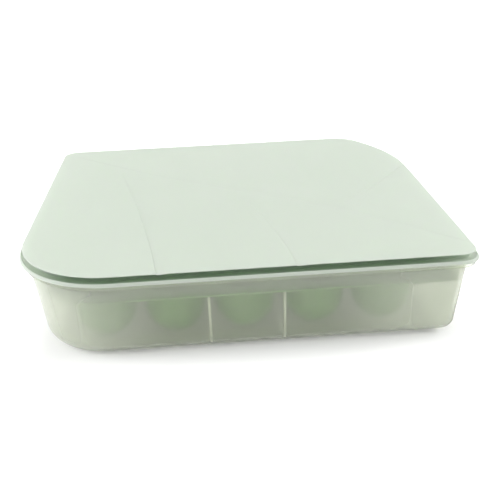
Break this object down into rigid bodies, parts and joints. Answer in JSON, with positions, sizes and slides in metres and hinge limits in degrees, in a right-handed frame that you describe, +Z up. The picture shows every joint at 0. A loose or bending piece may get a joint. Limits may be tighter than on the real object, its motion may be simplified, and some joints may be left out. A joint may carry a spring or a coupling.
{
  "type": "egg keeper",
  "caption": "Leaf-shaped egg keeper: frosted drafted tub, a lift-out tray with egg wells, and a flat lid with leaf-vein lines that flips open on pin hinges at the back.",
  "frame": {"origin": "centre of the tub's underside, on the surface it stands on; X and Y are centred on the lid's lip", "axes": "+X to the right along the front, +Y to the back where the hinges are, +Z up"},
  "size_m": [0.3199, 0.301, 0.0685],
  "materials": {
    "frosted_plastic": "frosted, see-through polypropylene",
    "lid_plastic": "satin, pale green polypropylene",
    "tray_plastic": "satin, green polypropylene",
    "pin_steel": "drawn stainless wire"
  },
  "bodies": {
    "tub": {"tub": "frosted_plastic", "hinge_pin_left": "pin_steel", "hinge_pin_right": "pin_steel"},
    "lid": {"lid": "lid_plastic"},
    "tray": {"egg_tray": "tray_plastic"}
  },
  "joints": [
    {"name": "lid_flip", "type": "hinge", "parent": "tub", "child": "lid", "pos_m": [0, 0.1505, 0.06], "axis": [-1, 0, 0], "range_deg": [0, 110]},
    {"name": "tray_lift", "type": "slide", "parent": "tub", "child": "tray", "axis": [0, 0, 1], "range_m": [0, 0.012]}
  ]
}
